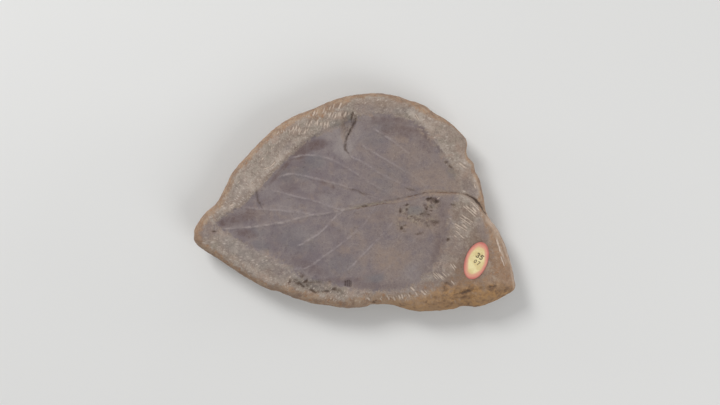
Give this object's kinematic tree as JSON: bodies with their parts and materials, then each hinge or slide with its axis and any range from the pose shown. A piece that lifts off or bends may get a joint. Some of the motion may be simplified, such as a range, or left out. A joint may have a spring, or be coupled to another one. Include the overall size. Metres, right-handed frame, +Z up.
{
  "type": "fossil leaf plate",
  "caption": "Flat stone nodule split to show a broad fossil leaf with raised side veins and a grooved midrib, with chisel marks round the leaf and an oval paper label.",
  "frame": {"origin": "on the surface the plate lies on, under the middle of its bounding box", "axes": "+X from the leaf's tip to its stalk, +Y towards the leaf's upper side as seen from above, +Z up out of the leaf face"},
  "size_m": [0.1402, 0.0955, 0.019],
  "materials": {
    "stone": "matt, purple-grey leaf in a paler prepared margin with an ochre weathered rim",
    "label_paper": "matt cream paper with a printed red border and a small ink number"
  },
  "bodies": {
    "root": {"stone_plate": "stone", "paper_label": "label_paper"}
  },
  "joints": []
}
